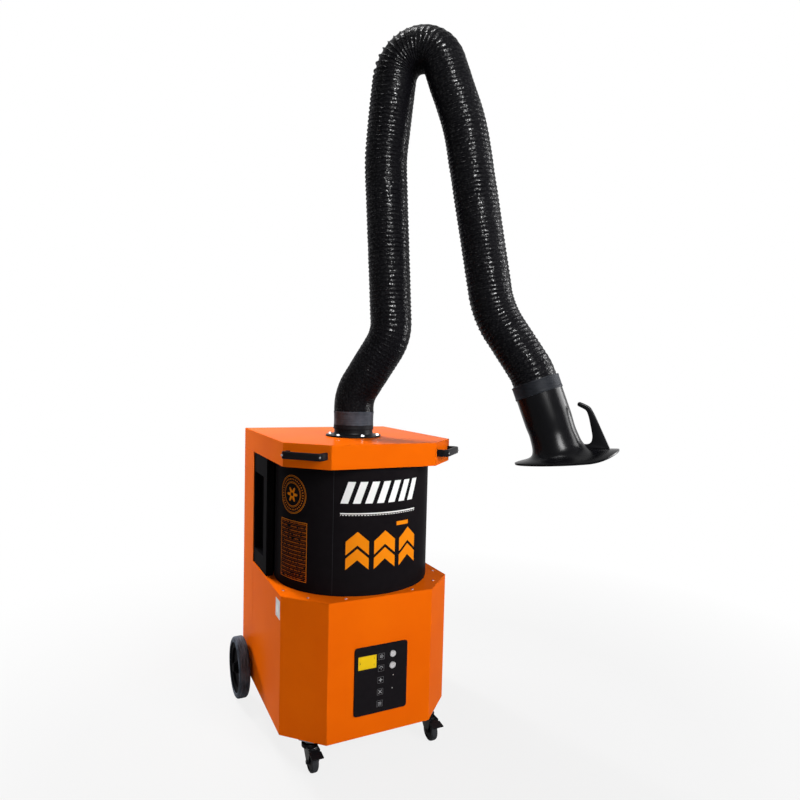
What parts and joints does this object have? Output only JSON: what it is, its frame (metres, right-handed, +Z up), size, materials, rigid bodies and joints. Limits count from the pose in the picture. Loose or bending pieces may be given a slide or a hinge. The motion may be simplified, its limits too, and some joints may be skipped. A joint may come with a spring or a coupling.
{
  "type": "mobile welding fume extractor",
  "caption": "Wheeled sheet-metal filter cabinet with a drum filter, control panel and a jointed ribbed hose arm that ends in an egg-shaped extraction hood with a hook handle.",
  "frame": {"origin": "on the floor, below the middle of the whole object's bounding box in the stored pose", "axes": "+Z up, -Y is the front with the control panel, +X is the side the arm reaches towards"},
  "size_m": [1.135, 1.2196, 2.651],
  "materials": {
    "black_paint": "satin black paint",
    "black_plastic": "satin black plastic",
    "cast_aluminium": "cast aluminium",
    "filter_paper": "pleated filter paper",
    "grey_rubber": "grey rubber",
    "hose_fabric": "glossy coated black fabric over a wire helix",
    "orange_paint": "satin powder coat",
    "steel": "bare steel",
    "tyre_rubber": "dark grey rubber",
    "white_plastic": "white plastic",
    "zinc": "zinc-plated sheet"
  },
  "bodies": {
    "cabinet": {"base_shell": "orange_paint", "base_top_plate": "orange_paint", "rear_column": "orange_paint", "outlet_grille": "black_paint", "cable_gland": "black_plastic", "lid_shell": "orange_paint", "lid_underplate": "orange_paint", "handle_left": "black_plastic", "handle_right": "black_plastic", "filter_drum": "black_paint", "grip_box_left": "black_plastic", "grip_box_right": "black_plastic", "filter_seal": "tyre_rubber", "filter_media": "filter_paper", "filter_cap": "zinc", "fan_shelf": "zinc", "fan_housing": "zinc", "fan_motor": "cast_aluminium", "control_panel": "black_plastic", "control_box": "zinc", "rear_axle": "steel", "hub_cap_left": "black_plastic", "hub_cap_right": "black_plastic", "caster_plate_left": "zinc", "caster_plate_right": "zinc", "lid_flange": "black_paint"},
    "fan_rotor": {"fan_impeller": "zinc", "fan_shaft": "steel"},
    "start_button": {"button_start": "white_plastic"},
    "stop_button": {"button_stop": "white_plastic"},
    "rear_wheel_left": {"rear_tyre_left": "tyre_rubber", "rear_hub_left": "black_plastic"},
    "rear_wheel_right": {"rear_tyre_right": "tyre_rubber", "rear_hub_right": "black_plastic"},
    "caster_left": {"caster_fork_left": "black_paint", "caster_bolt_left": "steel"},
    "caster_left_roller": {"caster_wheel_left": "black_plastic"},
    "caster_left_brake": {"brake_pedal_left": "black_plastic"},
    "caster_right": {"caster_fork_right": "black_paint", "caster_bolt_right": "steel"},
    "caster_right_roller": {"caster_wheel_right": "black_plastic"},
    "caster_right_brake": {"brake_pedal_right": "black_plastic"},
    "arm_base": {"swivel_collar": "black_plastic", "lower_cuff": "grey_rubber", "shoulder_post": "steel", "shoulder_pin": "steel", "hose_base_bend": "hose_fabric"},
    "lower_arm": {"lower_link": "steel", "elbow_pin": "steel", "hose_lower_run": "hose_fabric", "hose_elbow_bend": "hose_fabric"},
    "upper_arm": {"upper_link": "steel", "hood_pin": "steel", "hose_upper_run": "hose_fabric", "hose_hood_bend": "hose_fabric"},
    "hood_mount": {"hood_cuff": "grey_rubber", "hood_knuckle": "cast_aluminium"},
    "hood": {"extraction_hood": "black_plastic"},
    "damper": {"hood_damper": "zinc"}
  },
  "joints": [
    {"name": "fan_spin", "type": "hinge", "parent": "cabinet", "child": "fan_rotor", "pos_m": [-0.17916, 0.1368, 0.4313], "axis": [0, 0, 1], "continuous": true},
    {"name": "start_button_push", "type": "slide", "parent": "cabinet", "child": "start_button", "axis": [0, 1, 0], "range_m": [0, 0.003], "stiffness_N_per_m": 900},
    {"name": "stop_button_push", "type": "slide", "parent": "cabinet", "child": "stop_button", "axis": [0, 1, 0], "range_m": [0, 0.003], "stiffness_N_per_m": 900},
    {"name": "rear_wheel_left_roll", "type": "hinge", "parent": "cabinet", "child": "rear_wheel_left", "pos_m": [-0.54016, 0.48481, 0.125], "axis": [1, 0, 0], "continuous": true},
    {"name": "caster_left_swivel", "type": "hinge", "parent": "cabinet", "child": "caster_left", "pos_m": [-0.41116, -0.1002, 0], "axis": [0, 0, 1], "continuous": true},
    {"name": "caster_left_roll", "type": "hinge", "parent": "caster_left", "child": "caster_left_roller", "pos_m": [-0.41116, -0.1342, 0.0375], "axis": [1, 0, 0], "continuous": true},
    {"name": "caster_left_brake_press", "type": "hinge", "parent": "caster_left", "child": "caster_left_brake", "pos_m": [-0.41116, -0.1522, 0.0815], "axis": [1, 0, 0], "range_deg": [0, 14]},
    {"name": "rear_wheel_right_roll", "type": "hinge", "parent": "cabinet", "child": "rear_wheel_right", "pos_m": [0.18184, 0.48481, 0.125], "axis": [1, 0, 0], "continuous": true},
    {"name": "caster_right_swivel", "type": "hinge", "parent": "cabinet", "child": "caster_right", "pos_m": [0.05284, -0.1002, 0], "axis": [0, 0, 1], "continuous": true},
    {"name": "caster_right_roll", "type": "hinge", "parent": "caster_right", "child": "caster_right_roller", "pos_m": [0.05284, -0.1342, 0.0375], "axis": [1, 0, 0], "continuous": true},
    {"name": "caster_right_brake_press", "type": "hinge", "parent": "caster_right", "child": "caster_right_brake", "pos_m": [0.05284, -0.1522, 0.0815], "axis": [1, 0, 0], "range_deg": [0, 14]},
    {"name": "arm_swivel", "type": "hinge", "parent": "cabinet", "child": "arm_base", "pos_m": [-0.17916, 0.1368, 1.1656], "axis": [0, 0, 1], "range_deg": [-170, 170]},
    {"name": "arm_tilt", "type": "hinge", "parent": "arm_base", "child": "lower_arm", "pos_m": [-0.09819, 0.05583, 1.47362], "axis": [0.7071, 0.7071, 0], "range_deg": [-12, 20], "deforming": ["hose_base_bend"]},
    {"name": "elbow_bend", "type": "hinge", "parent": "lower_arm", "child": "upper_arm", "pos_m": [-0.01857, -0.02379, 2.57037], "axis": [-0.7071, -0.7071, 0], "range_deg": [0, 100], "deforming": ["hose_elbow_bend"]},
    {"name": "hood_tilt", "type": "hinge", "parent": "upper_arm", "child": "hood_mount", "pos_m": [0.29306, -0.33542, 1.42351], "axis": [-0.7071, -0.7071, 0], "range_deg": [-30, 30], "deforming": ["hose_hood_bend"]},
    {"name": "hood_turn", "type": "hinge", "parent": "hood_mount", "child": "hood", "pos_m": [0.32481, -0.36716, 1.3228], "axis": [0.2511, -0.2511, -0.9348], "range_deg": [-170, 170]},
    {"name": "damper_turn", "type": "hinge", "parent": "hood", "child": "damper", "pos_m": [0.34941, -0.39177, 1.23119], "axis": [0.7071, 0.7071, 0], "range_deg": [0, 90]}
  ]
}
